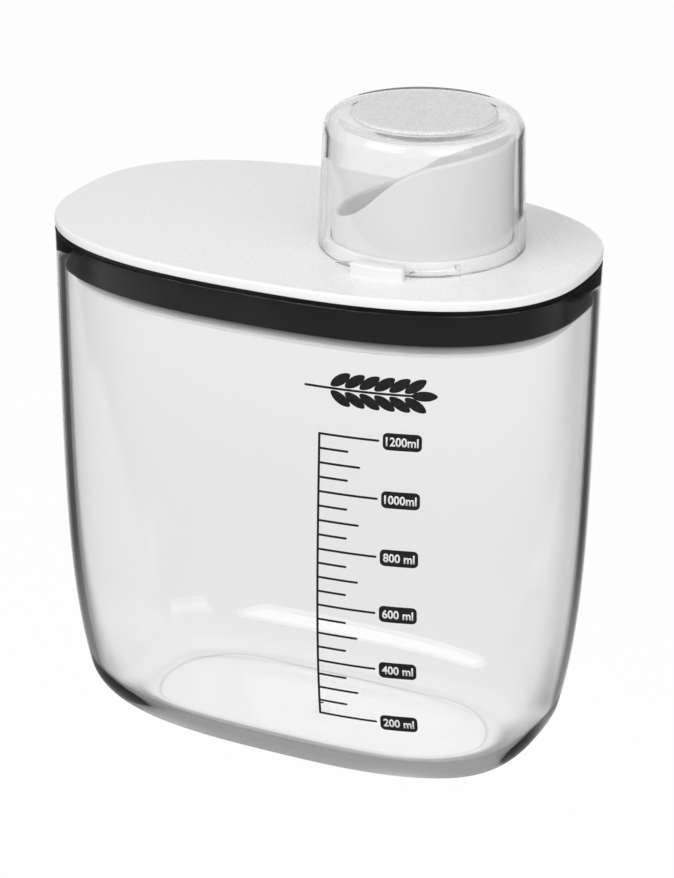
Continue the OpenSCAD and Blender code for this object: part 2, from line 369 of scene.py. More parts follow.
class Recipe:
    """Node tree of a new material or of a world, built up node by node."""

    def __init__(self, name: str, world: Optional[bpy.types.World] = None) -> None:
        """Starts an empty node tree.

        Args:
            name: Name of the new material, unused for a world.
            world: A world to fill in place of a new material.
        """
        self.owner = world or bpy.data.materials.new(name)
        self.owner.use_nodes = True
        self.tree = self.owner.node_tree
        self.tree.nodes.clear()

    def feed(self, entry: Socket, value: Feed) -> None:
        """Links a socket to an input, or sets the input's value.

        Args:
            entry: The input.
            value: Source socket or plain value.
        """
        if isinstance(value, Socket):
            self.tree.links.new(value, entry)
        else:
            entry.default_value = value

    def add(self, kind: str, settings: Optional[Dict[str, str]] = None, **inputs: Feed) -> bpy.types.Node:
        """Adds a node.

        Args:
            kind: Its type, without the leading ShaderNode.
            settings: Values of the node's own properties.
            **inputs: Input values or source sockets, underscores standing for spaces.

        Returns:
            The node.
        """
        node = self.tree.nodes.new("ShaderNode" + kind)
        for key, value in (settings or {}).items():
            setattr(node, key, value)
        for key, value in inputs.items():
            self.feed(node.inputs[key.replace("_", " ")], value)
        return node

    def place(self) -> Socket:
        """Object coordinates, in metres."""
        return self.add("TexCoord").outputs["Object"]

    def part(self, axis: str) -> Socket:
        """One of the object coordinates X, Y and Z, in metres."""
        return self.add("SeparateXYZ", Vector=self.place()).outputs[axis]

    def noise(self, noise: Noise) -> Socket:
        """Value of a noise on the object coordinates."""
        mapped = self.add("Mapping", Vector=self.place(), Scale=noise.stretch).outputs["Vector"]
        return self.add("TexNoise", Vector=mapped, Scale=noise.scale, Detail=noise.detail).outputs["Fac"]

    def math(self, operation: str, *values: Feed) -> Socket:
        """Arithmetic on one or two values.

        Args:
            operation: Blender's name of the operation.
            *values: Sockets or numbers.

        Returns:
            The result socket.
        """
        made = self.add("Math", {"operation": operation})
        for entry, value in zip(made.inputs, values):
            self.feed(entry, value)
        return made.outputs["Value"]

    def along(self, vector: Socket, axis: Vector) -> Socket:
        """Component of a vector along an axis.

        Args:
            vector: Vector socket.
            axis: The axis, of unit length.

        Returns:
            The component's socket.
        """
        made = self.add("VectorMath", {"operation": "DOT_PRODUCT"})
        self.feed(made.inputs[0], vector)
        self.feed(made.inputs[1], axis)
        return made.outputs["Value"]

    def fade(
        self, value: Socket, ends: Flat, levels: Tuple[float, Feed], kind: str = "SMOOTHSTEP"
    ) -> Socket:
        """Passes from one level to another as a value passes from one end to the other.

        Args:
            value: The value that drives it.
            ends: Values where it starts and ends.
            levels: Numbers or sockets before and after it.
            kind: Blender's name of the interpolation.

        Returns:
            The level's socket.
        """
        made = self.add(
            "MapRange", {"interpolation_type": kind}, Value=value,
            From_Min=ends[0], From_Max=ends[1], To_Min=levels[0], To_Max=levels[1],
        )
        return made.outputs["Result"]

    def spread(self, noise: Socket, low: float, high: float) -> Socket:
        """Maps a noise value onto a range."""
        return self.fade(noise, NOISE_ENDS, (low, high), "LINEAR")

    def ramp(self, value: Socket, stops: Sequence[Flat]) -> Socket:
        """Neutral colour from a value, through several stops.

        Args:
            value: Socket from 0 to 1.
            stops: Pairs of value and grey.

        Returns:
            The colour socket.
        """
        made = self.add("ValToRGB", Fac=value)
        elements = made.color_ramp.elements
        for place, level in stops[1:-1]:
            elements.new(place).color = grey(level)
        for index in (0, -1):
            elements[index].position = stops[index][0]
            elements[index].color = grey(stops[index][1])
        return made.outputs["Color"]

    def blend(self, noise: Socket, low: float, high: float) -> Socket:
        """Neutral colour between two, by a noise value."""
        return self.ramp(noise, ((NOISE_ENDS[0], low), (NOISE_ENDS[1], high)))

    def between(self, share: Socket, first: Feed, second: Feed) -> Socket:
        """Mixes two colours, vectors or numbers.

        Args:
            share: 0 gives the first, 1 the second.
            first: First socket or plain value.
            second: Second socket or plain value.

        Returns:
            The mixed socket.
        """
        kinds = [value.type for value in (first, second) if isinstance(value, Socket)]
        wide = bool(kinds) and kinds[0] in ("RGBA", "VECTOR")
        made = self.add("Mix", {"data_type": kinds[0] if wide else "FLOAT"})
        entries = [entry for entry in made.inputs if entry.enabled]
        for entry, value in zip(entries, (share, first, second)):
            self.feed(entry, value)
        return next(result for result in made.outputs if result.enabled)

    def bump(self, height: Socket, depth: float, strength: float) -> Socket:
        """Normal of a relief, from its height and its depth in millimetres."""
        return self.add("Bump", Height=height, Distance=depth * MM, Strength=strength).outputs["Normal"]

    def mix(self, share: Socket, first: bpy.types.Node, second: bpy.types.Node) -> Socket:
        """Mixes two shaders.

        Args:
            share: 0 gives the first, 1 the second.
            first: First shader.
            second: Second shader.

        Returns:
            The mixed shader's socket.
        """
        both = self.add("MixShader", Fac=share)
        for entry, shader in zip(both.inputs[1:], (first, second)):
            self.feed(entry, shader.outputs[0])
        return both.outputs["Shader"]

    def output(self, surface: Socket) -> Material:
        """Adds the material's output and gives the finished material."""
        self.add("OutputMaterial", Surface=surface)
        return self.owner


@dataclass(frozen=True)
class Finish:
    """Moulded or printed surface whose colour, gloss and relief vary a little."""

    name: str
    colour: float = 0.86
    mottle: float = 0.012
    roughness: float = 0.36
    uneven: float = 0.05
    cloud: Noise = Noise(14.0, 3.0)
    sheen: Noise = Noise(2600.0)
    grain: Noise = Noise(2600.0)
    grain_depth: float = 0.012
    grain_strength: float = 0.5
    extras: Tuple[Tuple[str, float], ...] = ()

    def tint(self, made: Recipe, cloud: Socket) -> Socket:
        """Colour of the surface, by its cloud noise."""
        return made.blend(cloud, self.colour - self.mottle, self.colour + self.mottle)

    def make(self) -> Material:
        """Builds the material."""
        made = Recipe(self.name)
        sheen = made.noise(self.sheen)
        shader = made.add(
            "BsdfPrincipled",
            Base_Color=self.tint(made, made.noise(self.cloud)),
            Roughness=made.spread(sheen, self.roughness - self.uneven, self.roughness + self.uneven),
            Normal=made.bump(made.noise(self.grain), self.grain_depth, self.grain_strength),
        )
        for key, value in self.extras:
            shader.inputs[key].default_value = value
        return made.output(shader.outputs["BSDF"])


@dataclass(frozen=True)
class SatinPlastic(Finish):
    """Opaque moulded plastic with a fine spark-eroded grain."""

    grain_strength: float = 0.6


@dataclass(frozen=True)
class PaintedShadePlastic(SatinPlastic):
    """Satin plastic with painted shade that darkens it upwards under a ledge, where little light comes."""

    shade: float = 0.12
    shade_ends: Flat = (0.0, 1.0)

    def tint(self, made: Recipe, cloud: Socket) -> Socket:
        """Colour with painted shade that darkens towards the ledge."""
        # Painted shade: the colour darkens upwards towards the ledge, where the ledge shades the surface.
        share = made.fade(made.part("Z"), tuple(end * MM for end in self.shade_ends), (0.0, 1.0))
        return made.between(share, super().tint(made, cloud), grey(self.shade))


@dataclass(frozen=True)
class Silicone(Finish):
    """Black moulded silicone, matte with a soft cloudy bloom, and lighter towards one end by a painted
    reflection.
    """

    colour: float = 0.005
    mottle: float = 0.003
    reflection_grey: float = 0.04
    reflection_ends: Flat = (15.0, -80.0)
    roughness: float = 0.52
    uneven: float = 0.1
    cloud: Noise = Noise(45.0, 3.0, (1, 1, 0.25))
    sheen: Noise = Noise(45.0, 3.0, (1, 1, 0.25))
    grain: Noise = Noise(1500.0)
    grain_depth: float = 0.01
    extras: Tuple[Tuple[str, float], ...] = (("Specular IOR Level", 0.18),)

    def tint(self, made: Recipe, cloud: Socket) -> Socket:
        """Colour with a painted reflection that makes it lighter and cloudier towards one end.

        Args:
            made: The material.
            cloud: Its cloud noise.

        Returns:
            The colour socket.
        """
        # Painted reflection: the silicone turns lighter and streaky towards its left end, standing in for
        # the bright surroundings it reflects.
        ends = tuple(end * MM for end in self.reflection_ends)
        reflection_share = made.fade(made.part("X"), ends, (0.0, 1.0), "LINEAR")
        reflected_colour = made.blend(cloud, self.colour + self.mottle, self.reflection_grey)
        return made.between(reflection_share, super().tint(made, cloud), reflected_colour)


@dataclass(frozen=True)
class SoftClear(Finish):
    """Milky translucent silicone."""

    colour: float = 0.93
    mottle: float = 0.02
    roughness: float = 0.5
    uneven: float = 0.08
    cloud: Noise = Noise(120.0)
    sheen: Noise = Noise(120.0)
    grain: Noise = Noise(120.0)
    grain_depth: float = 0.05
    extras: Tuple[Tuple[str, float], ...] = (("IOR", 1.41), ("Transmission Weight", 0.12))


@dataclass(frozen=True)
class Ink(Finish):
    """Screen-printed ink, a little uneven in cover and gloss."""

    roughness: float = 0.4
    uneven: float = 0.08
    cloud: Noise = Noise(900.0, 3.0)
    sheen: Noise = Noise(900.0, 3.0)
    grain: Noise = Noise(900.0, 3.0)
    grain_depth: float = 0.004


@dataclass(frozen=True)
class FrostedZone:
    """Round zone of a clear piece that is etched to a fine diagonal grain."""

    centre_x: float
    radius: float
    above: float
    flat_colour: float = 0.97
    pit_colour: float = 0.74
    roughness: float = 0.42
    transmission: float = 0.15
    pitch: float = 1300.0
    grain_turn: float = 38.0
    scatter: float = 0.35
    pit_depth: float = 0.05
    pit_strength: float = 0.8

    def mask(self, made: Recipe) -> Socket:
        """Socket that is 1 inside the zone.

        Args:
            made: The material that gets the zone.

        Returns:
            The mask socket.
        """
        across = made.math("SUBTRACT", made.part("X"), self.centre_x * MM)
        squares = [made.math("POWER", side, 2.0) for side in (across, made.part("Y"))]
        within = made.math("LESS_THAN", made.math("ADD", *squares), (self.radius * MM) ** 2)
        return made.math("MULTIPLY", within, made.math("GREATER_THAN", made.part("Z"), self.above * MM))

    def pits(self, made: Recipe) -> Socket:
        """Height of the etched grain.

        Args:
            made: The material that gets the zone.

        Returns:
            The height socket.
        """
        turned = made.add("Mapping", Vector=made.place(), Rotation=(0, 0, math.radians(self.grain_turn)))
        dots = made.add(
            "TexVoronoi", Vector=turned.outputs["Vector"], Scale=self.pitch, Randomness=self.scatter
        )
        return dots.outputs["Distance"]

    def lay(self, made: Recipe, shader: bpy.types.Node) -> None:
        """Blends the zone into a clear shader.

        Args:
            made: The material.
            shader: Its Principled shader, already fed as clear plastic.
        """
        mask = self.mask(made)
        cloud = made.blend(self.pits(made), self.flat_colour, self.pit_colour)
        relief = made.bump(self.pits(made), self.pit_depth, self.pit_strength)
        for key, frosted in (
            ("Base Color", cloud), ("Roughness", self.roughness),
            ("Transmission Weight", self.transmission), ("Normal", relief),
        ):
            entry = shader.inputs[key]
            clear = entry.links[0].from_socket if entry.is_linked else entry.default_value
            made.feed(entry, made.between(mask, clear, frosted))


@dataclass(frozen=True)
class HazyFoot:
    """Lower edge of a clear piece that is rubbed hazy in use."""

    low: float
    high: float
    roughness: float = 0.14

    def lay(self, made: Recipe, shader: bpy.types.Node) -> None:
        """Blends the haze into a clear shader.

        Args:
            made: The material.
            shader: Its Principled shader, already fed with a roughness.
        """
        share = made.fade(made.part("Z"), (self.low * MM, self.high * MM), (1.0, 0.0))
        entry = shader.inputs["Roughness"]
        made.feed(entry, made.between(share, entry.links[0].from_socket, self.roughness))


@dataclass(frozen=True)
class ClearPlastic:
    """Clear moulded plastic: slightly wavy, and darker where one looks along the wall."""

    name: str
    along: Tuple[Flat, ...] = (
        (0.0, 0.998), (0.4, 0.995), (0.6, 0.975), (0.8, 0.9), (1.0, 0.6),
    )
    zones: Tuple[Union[HazyFoot, FrostedZone], ...] = ()
    roughness: float = 0.012
    haze: float = 0.02
    cloud: Noise = Noise(60.0)
    wave: Noise = Noise(26.0, 1.0)
    wave_depth: float = 0.05
    wave_strength: float = 0.5
    density: float = 4.5
    depth_colour: Colour = (0.30, 0.33, 0.34, 1.0)
    shade_through: float = 0.97
    clarity: float = 1.0
    ior: float = 1.42

    def make(self) -> Material:
        """Builds the material."""
        made = Recipe(self.name)
        facing = made.add("LayerWeight", Blend=0.5).outputs["Facing"]
        shader = made.add(
            "BsdfPrincipled",
            Base_Color=made.ramp(facing, self.along),
            Roughness=made.spread(made.noise(self.cloud), self.roughness, self.roughness + self.haze),
            IOR=self.ior,
            Transmission_Weight=self.clarity,
            Normal=made.bump(made.noise(self.wave), self.wave_depth, self.wave_strength),
        )
        for zone in self.zones:
            zone.lay(made, shader)
        through = made.add("BsdfTransparent", Color=grey(self.shade_through))
        shadow = made.add("LightPath").outputs["Is Shadow Ray"]
        depth = made.add("VolumeAbsorption", Color=self.depth_colour, Density=self.density)
        made.add(
            "OutputMaterial", Surface=made.mix(shadow, shader, through), Volume=depth.outputs["Volume"]
        )
        return made.owner


def dress(
    piece: Piece, material: Material, body: Body,
    slot: Optional[Slot] = None, stands_for: Sequence[str] = (),
) -> Piece:
    """Gives a piece its material and body, and hides the CAD nodes it stands for.

    Args:
        piece: The finished piece.
        material: Its material.
        body: The body it rides on.
        slot: Not used.
        stands_for: Names of the CAD nodes it replaces.

    Returns:
        The same object.
    """
    piece.data.materials.clear()
    piece.data.materials.append(material)
    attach(piece, body.value)
    if stands_for:
        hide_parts(*stands_for)
    return piece


# The keeper


@dataclass
class Jar:
    """Clear jar with tucked sides and a foot ring."""

    outline: Outline = Outline()
    finish: ClearPlastic = ClearPlastic("clear_jar_plastic")
    height: float = 149.0
    wall: float = 2.5
    floor: float = 2.4
    draft: float = 1.5
    tuck: float = 9.7
    tuck_power: float = 5.2
    base_radius: float = 13.0
    inner_radius: float = 13.5
    base_square: float = 0.12
    foot_width: float = 3.0
    foot_hollow: float = 0.6
    foot_slope: float = 0.6
    foot_step: float = 0.12
    foot_blend: float = 1.8
    foot_edge: Flat = (0.2, 0.01)
    rim_round: float = 0.4
    gate_radius: float = 2.6
    gate_height: float = 0.7
    gate_section: Tuple[Flat, ...] = (
        (1.25, 0.0), (1.0, 0.12), (0.8, 0.6), (0.5, 0.88), (0.22, 1.0), (0.16, 0.5), (0.08, 0.4),
    )
    side_steps: int = 30
    side_grading: float = 1.4
    fillet_steps: int = 18
    rim_steps: int = 4
    slope_steps: int = 6

    def outline_at(self, z: float) -> Outline:
        """Outline of the jar at height z, squarer towards its base."""
        squarer = self.base_square * (1 - z / self.height)
        return replace(self.outline, squareness=self.outline.squareness + squarer)

    def side_inset(self, z: float) -> float:
        """Inset of the outer wall at height z, without the fillet at the base."""
        down = 1 - z / self.height
        return self.draft * down + self.tuck * down ** self.tuck_power

    def _side(self, radius: float, bottom: float, wall: float) -> List[Flat]:
        """Section of a fillet and the side above it, up to the rim's rounding.

        Args:
            radius: Radius of the fillet in millimetres.
            bottom: Height where it starts.
            wall: Thickness between the outer wall and this surface.

        Returns:
            Inset and height pairs, upwards.
        """
        points = []
        for c, s in quarter(self.fillet_steps):
            z = bottom + radius * (1 - c)
            points.append((self.side_inset(z) + wall + radius * (1 - s), z))
        start = bottom + radius
        rise = self.height - self.rim_round - start
        for step in range(1, self.side_steps + 1):
            z = start + rise * (step / self.side_steps) ** self.side_grading
            points.append((self.side_inset(z) + wall, z))
        return points

    def section(self) -> List[Flat]:
        """Whole section of the shell, from under the foot round the rim to the floor inside."""
        foot = self.draft + self.tuck + self.base_radius + self.foot_width
        edge_in, edge_z = self.foot_edge
        points = [(foot + self.foot_blend, self.foot_step), (foot + edge_in, edge_z), (foot, 0.0)]
        points += self._side(self.base_radius, 0.0, 0.0)
        r = self.rim_round
        rim_z = self.height - r
        points += [(r * (1 - c), rim_z + r * s) for c, s in quarter(self.rim_steps)[1:]]
        points += [(self.wall - r + r * s, rim_z + r * c) for c, s in quarter(self.rim_steps)[:-1]]
        points += reversed(self._side(self.inner_radius, self.floor, self.wall))
        return points

    def build_shell(self) -> Piece:
        """Builds the clear shell, with the gate mark in the middle of its floor."""
        rings = [self.outline_at(z).ring(inset, z) for inset, z in self.section()]
        edge = rings[0]
        for step in range(1, self.slope_steps + 1):
            share = step / self.slope_steps
            rise = (self.foot_hollow - self.foot_step) * share * share * (3 - 2 * share)
            scale = 1 - self.foot_slope * share
            rings.insert(0, [(x * scale, y * scale, z + rise) for x, y, z in edge])
        for share, rise in self.gate_section:
            z = self.floor + self.gate_height * rise
            rings.append(circle(self.gate_radius * share, z, 0.0, self.outline.steps))
        return skin("jar_shell", rings, loop=False)

    def build(self) -> List[Piece]:
        """Builds and dresses the shell."""
        return [dress(self.build_shell(), self.finish.make(), Body.JAR, Slot.JAR, ["container"])]


@dataclass
class PrintedScale:
    """Print on the front wall: measuring scale with numbered labels, and an ear of grain over it."""

    jar: Jar
    dark: Ink = Ink("black_ink", 0.012, 0.004)
    light: Ink = Ink("white_ink", 0.83, 0.03)
    line_top_x: float = 21.7
    line_bottom_x: float = 20.3
    stroke: float = 0.66
    marks: Tuple[Tuple[int, float], ...] = (
        (200, 25.4), (400, 43.0), (600, 60.8), (800, 78.1), (1000, 95.5), (1200, 112.6),
    )
    ticks: Tuple[Tuple[int, float], ...] = ((200, 16.6), (100, 11.6), (50, 8.3))
    label_gap: float = 0.9
    label_width: float = 10.1
    label_height: float = 5.0
    label_corner: float = 1.3
    figure_size: float = 3.55
    figure_bold: float = 0.09
    figure_squeeze: float = 0.86
    figure_steps: int = 4
    spaced_below: int = 1000
    ear_from: float = 17.4
    ear_to: float = 53.0
    ear_z: float = 126.2
    kernel_pairs: int = 6
    kernels_from: float = 9.0
    kernels_end: float = 3.4
    kernel_out: float = 0.75
    kernel_back: float = 1.5
    kernel_length: float = 6.6
    kernel_width: float = 2.9
    kernel_turn: float = 36.0
    kernel_points: int = 32
    kernel_taper: float = 0.25
    ink_lift: float = 0.04
    ink_thickness: float = 0.05
    print_y: float = -60.0
    corner_part: float = 2.02
    corner_steps: int = 5
    longest_face: float = 2.0

    def line_x(self, z: float) -> float:
        """Distance of the vertical line from the middle, at height z."""
        share = (z - self.marks[0][1]) / (self.marks[-1][1] - self.marks[0][1])
        return self.line_bottom_x + (self.line_top_x - self.line_bottom_x) * share

    def height_of(self, volume: float) -> float:
        """Height of a volume's mark over the base, from the marks on both sides of it.

        Args:
            volume: Volume in millilitres.

        Returns:
            Height in millimetres.
        """
        for (v0, z0), (v1, z1) in zip(self.marks, self.marks[1:]):
            if volume <= v1:
                return z0 + (z1 - z0) * (volume - v0) / (v1 - v0)
        return self.marks[-1][1]

    def _strip(self, x0: float, x1: float, z0: float, z1: float, corner: float) -> Piece:
        """Flat rounded strip in the plane of x and z, cut fine enough to bend on the wall.

        Args:
            x0: Left end in millimetres.
            x1: Right end.
            z0: Lower edge.
            z1: Upper edge.
            corner: Radius of its corners.

        Returns:
            The strip, with no thickness yet.
        """
        wide = x1 - x0
        high = z1 - z0
        middle = ((x0 + x1) / 2 * MM, self.print_y * MM, (z0 + z1) / 2 * MM)
        piece = added(bpy.ops.mesh.primitive_plane_add, size=1, location=middle, rotation=UPRIGHT)
        piece.scale = (wide * MM, high * MM, 1)
        bpy.ops.object.transform_apply(location=True, rotation=True, scale=True)
        start_edit(piece, "SELECT")
        bpy.ops.mesh.bevel(
            offset=min(corner, wide / self.corner_part, high / self.corner_part) * MM,
            segments=self.corner_steps, affect="VERTICES", offset_type="OFFSET", clamp_overlap=True,
        )
        cuts = max(0, math.ceil(max(wide, high) / self.longest_face) - 1)
        for cut in range(1, cuts + 1):
            share = cut / (cuts + 1)
            level = wide >= high
            at = (x0 + wide * share, 0, 0) if level else (0, 0, z0 + high * share)
            bpy.ops.mesh.select_all(action="SELECT")
            bpy.ops.mesh.bisect(
                plane_co=tuple(c * MM for c in at), plane_no=(1, 0, 0) if level else (0, 0, 1)
            )
        end_edit()
        return piece

    def _figure(self, words: str, x: float, z: float) -> Piece:
        """Number of a label, as a flat mesh in the plane of x and z.

        Args:
            words: What it says.
            x: Its middle, in millimetres.
            z: Its middle height.

        Returns:
            The mesh.
        """
        text = added(bpy.ops.object.text_add, rotation=UPRIGHT)
        text.data.body = words
        text.data.size = self.figure_size * MM
        text.data.align_x = "CENTER"
        text.data.offset = self.figure_bold * MM
        text.data.resolution_u = self.figure_steps
        bpy.ops.object.convert(target="MESH")
        piece = bpy.context.active_object
        piece.scale = (self.figure_squeeze, 1, 1)
        bpy.ops.object.transform_apply(location=False, rotation=True, scale=True)
        corners = [vert.co for vert in piece.data.vertices]
        middle_x = (min(c.x for c in corners) + max(c.x for c in corners)) / 2
        middle_z = (min(c.z for c in corners) + max(c.z for c in corners)) / 2
        piece.location = (x * MM - middle_x, self.print_y * MM, z * MM - middle_z)
        bpy.ops.object.transform_apply(location=True, rotation=False, scale=False)
        return piece

    def _kernel(self, x: float, z: float, turn: float) -> Piece:
        """One kernel of the ear, a flat pointed oval.

        Args:
            x: Its middle, in millimetres.
            z: Its middle height.
            turn: How far its tip points up from +X, in degrees.

        Returns:
            The kernel, with no thickness yet.
        """
        radius = 0.5 * MM
        piece = added(
            bpy.ops.mesh.primitive_circle_add,
            vertices=self.kernel_points, radius=radius, fill_type="TRIFAN",
        )
        for vert in piece.data.vertices:
            vert.co.y *= 1 - (abs(vert.co.x) / radius) ** 3 * self.kernel_taper
        piece.scale = (self.kernel_length, self.kernel_width, 1)
        bpy.ops.object.transform_apply(location=False, rotation=False, scale=True)
        piece.rotation_euler = (math.pi / 2, -math.radians(turn), 0)
        piece.location = (x * MM, self.print_y * MM, z * MM)
        bpy.ops.object.transform_apply(location=True, rotation=True, scale=True)
        return piece

    def _print(self, name: str, parts: List[Piece], lift: float) -> Piece:
        """Joins flat prints, lays them on the front wall and gives them their thickness.

        Args:
            name: Name of the piece.
            parts: Flat meshes in the plane of x and z.
            lift: Height of its underside over the wall, in millimetres.

        Returns:
            The piece.
        """
        take_up(parts)
        bpy.ops.object.join()
        piece = name_piece(bpy.context.active_object, name)
        for vert in piece.data.vertices:
            z = vert.co.z / MM
            wall = self.jar.outline_at(z).front_y(vert.co.x / MM, self.jar.side_inset(z))
            vert.co.y = (wall - lift) * MM
        start_edit(piece, "SELECT")
        bpy.ops.mesh.remove_doubles(threshold=WELD)
        mesh = bmesh.from_edit_mesh(piece.data)
        mesh.normal_update()
        for face in mesh.faces:
            if face.normal.y > 0:
                face.normal_flip()
        bmesh.update_edit_mesh(piece.data)
        end_edit()
        solid = piece.modifiers.new("ink", "SOLIDIFY")
        solid.thickness = self.ink_thickness * MM
        solid.offset = 1
        bpy.ops.object.modifier_apply(modifier=solid.name)
        return piece

    def _lines(self) -> List[Piece]:
        """Flat strips of all ticks and of the vertical line."""
        half = self.stroke / 2
        low = self.marks[0]
        high = self.marks[-1]
        strips = []
        for volume in range(low[0], high[0] + 1, self.ticks[-1][0]):
            z = self.height_of(volume)
            x = self.line_x(z)
            reach = next(length for step, length in self.ticks if volume % step == 0)
            strips.append(self._strip(x - half, x + reach, z - half, z + half, half))
        upright = self._strip(-half, half, low[1] - half, high[1] + half, half)
        for vert in upright.data.vertices:
            vert.co.x += self.line_x(vert.co.z / MM) * MM
        return strips + [upright]

    def _ear(self) -> List[Piece]:
        """Flat parts of the ear of grain: a stem, pairs of kernels and one at the tip."""
        half = self.stroke / 2
        reach = self.kernel_length / 2
        tip = self.ear_to - reach
        parts = [self._strip(self.ear_from, tip, self.ear_z - half, self.ear_z + half, half)]
        turn = math.radians(self.kernel_turn)
        first = self.ear_from + self.kernels_from
        last = tip - self.kernels_end
        for pair in range(self.kernel_pairs):
            root = first + (last - first) * pair / (self.kernel_pairs - 1) - self.kernel_back
            for side in (-1, 1):
                z = self.ear_z + side * (self.kernel_out + reach * math.sin(turn))
                parts.append(self._kernel(root + reach * math.cos(turn), z, side * self.kernel_turn))
        return parts + [self._kernel(tip, self.ear_z, 0.0)]

    def label_x(self, z: float) -> float:
        """Left end of the label at height z."""
        return self.line_x(z) + self.ticks[0][1] + self.label_gap

    def _labels(self) -> List[Piece]:
        """Flat pads of the labels."""
        half = self.label_height / 2
        return [
            self._strip(self.label_x(z), self.label_x(z) + self.label_width, z - half, z + half,
                        self.label_corner)
            for _, z in self.marks
        ]

    def _figures(self) -> List[Piece]:
        """Flat figures of the labels."""
        figures = []
        for volume, z in self.marks:
            gap = " " if volume < self.spaced_below else ""
            figures.append(self._figure(f"{volume}{gap}ml", self.label_x(z) + self.label_width / 2, z))
        return figures

    def build(self) -> List[Piece]:
        """Builds and dresses the print."""
        dark = self.dark.make()
        raised = self.ink_lift + self.ink_thickness
        return [
            dress(self._print("scale_lines", self._lines(), self.ink_lift), dark, Body.JAR),
            dress(self._print("grain_ear", self._ear(), self.ink_lift), dark, Body.JAR),
            dress(self._print("scale_labels", self._labels(), self.ink_lift), dark, Body.JAR),
            dress(self._print("scale_figures", self._figures(), raised), self.light.make(), Body.JAR),
        ]


@dataclass
class Lid:
    """White lid: cover plate, plug wall and the black gasket between them and the jar."""

    jar: Jar
    finish: SatinPlastic = SatinPlastic(
        "white_cover_plastic", 0.93, mottle=0.006, roughness=0.28, uneven=0.012, grain_depth=0.0015
    )
    gasket_finish: Silicone = Silicone("black_silicone")
    flange: float = 1.2
    flange_in: float = 0.1
    band_depth: float = 9.5
    leg: float = 1.3
    band_width: float = 3.4
    web: float = 2.2
    gasket_round: float = 0.35
    cover: float = 2.7
    cover_round: float = 0.7
    cover_base_round: float = 0.25
    cover_base_cut: float = 0.08
    flat_from: float = 0.4
    plug_wall: float = 1.8
    plug_show: float = 4.2
    plug_lip: float = 0.7
    plug_lip_height: float = 1.0
    plug_round: float = 0.45
    plug_painted_shade_grey: float = 0.03
    plug_shade: Flat = (0.95, 0.1)
    rib: float = 1.6
    rib_depth: float = 6.0
    seal_gap: float = 0.3
    snug: float = 0.1
    spout_x: float = 29.5
    spout_radius: float = 24.8
    spout_flange: float = 4.2
    spout_flange_depth: float = 1.5
    locate_depth: float = 1.0
    bore_edge: float = 0.3
    bore_cut: float = 0.09
    round_steps: int = 6

    @property
    def cover_z(self) -> float:
        """Height of the cover plate's underside."""
        return self.jar.height + self.flange

    @property
    def top_z(self) -> float:
        """Height of the cover plate's top."""
        return self.cover_z + self.cover

    @property
    def band_in(self) -> float:
        """Inset of the gasket's band."""
        return self.jar.wall + self.seal_gap

    @property
    def plug_in(self) -> float:
        """Inset of the plug's outer face."""
        return self.band_in + self.band_width + self.snug

    @property
    def rib_in(self) -> float:
        """Inset of the cover's rib."""
        return self.plug_in + self.plug_wall + self.snug

    def build_gasket(self) -> Piece:
        """Builds the gasket: flange on the rim, band of two legs inside the wall."""
        rim = self.jar.height
        top = self.cover_z
        web = rim - self.web
        low = rim - self.band_depth
        outer = self.band_in
        inner = outer + self.band_width
        section = [
            (self.flange_in, rim), (self.flange_in, top), (inner, top), (inner, low),
            (inner - self.leg, low), (inner - self.leg, web), (outer + self.leg, web),
            (outer + self.leg, low), (outer, low), (outer, rim),
        ]
        return band("gasket_ring", self.jar.outline, soften(section, self.gasket_round))

    def build_plug(self) -> Piece:
        """Builds the plug wall with the lip that holds the gasket up."""
        bottom = self.jar.height - self.band_depth - self.plug_show
        lip_z = bottom + self.plug_lip_height
        outer = self.plug_in
        inner = outer + self.plug_wall
        section = [
            (outer, lip_z + self.plug_lip), (outer, self.cover_z), (inner, self.cover_z),
            (inner, bottom), (outer - self.plug_lip, bottom), (outer - self.plug_lip, lip_z),
        ]
        return band("plug_wall", self.jar.outline, soften(section, self.plug_round))

    def plug_finish(self) -> PaintedShadePlastic:
        """Finish of the plug, with painted shade dark under the gasket's band that fades to plain white at
        its lip.
        """
        # Painted shade under the gasket's band, standing in for the band's shadow on the plug.
        ends = tuple(self.jar.height - self.band_depth - part * self.plug_show for part in self.plug_shade)
        return PaintedShadePlastic("white_plug_plastic", 0.93, shade=self.plug_painted_shade_grey, shade_ends=ends)

    def _hole(self, radius: float, z: float) -> Ring:
        """Ring round the spout's axis, with the outline's number of points."""
        return circle(radius, z, self.spout_x, self.jar.outline.steps)

    def build_cover(self) -> Piece:
        """Builds the cover plate with the spout's hole and the ribs under it."""
        ring = self.jar.outline.ring
        low = self.cover_z
        top = self.top_z
        r = self.cover_round
        base = self.cover_base_round
        bore = self.spout_radius + self.snug
        locate = bore + self.spout_flange
        locate_z = low - self.spout_flange_depth - self.locate_depth
        rib_z = low - self.rib_depth
        cut = self.cover_base_cut
        rings = [ring(base, low), ring(cut, low + cut), ring(0.0, low + base)]
        rings += [ring(r * (1 - c), top - r + r * s) for c, s in quarter(self.round_steps)]
        rings.append(ring(r + self.flat_from, top))
        rings += [self._hole(radius, z) for radius, z in (
            (bore + self.bore_edge + self.flat_from, top), (bore + self.bore_edge, top),
            (bore + self.bore_cut, top - self.bore_cut), (bore, top - self.bore_edge), (bore, low),
            (locate, low), (locate, locate_z), (locate + self.rib, locate_z), (locate + self.rib, low),
        )]
        rings += [ring(inset, z) for inset, z in (
            (self.rib_in + self.rib, low), (self.rib_in + self.rib, rib_z),
            (self.rib_in, rib_z), (self.rib_in, low), (base + self.flat_from, low),
        )]
        return skin("cover_plate", rings, loop=True)

    def build(self) -> List[Piece]:
        """Builds and dresses the lid."""
        gasket = self.gasket_finish.make()
        return [
            dress(self.build_cover(), self.finish.make(), Body.LID, Slot.LID, ["lid_cover"]),
            dress(self.build_plug(), self.plug_finish().make(), Body.LID, Slot.PLUG, ["lid_plug"]),
            dress(self.build_gasket(), gasket, Body.LID, Slot.GASKET, ["gasket"]),
        ]


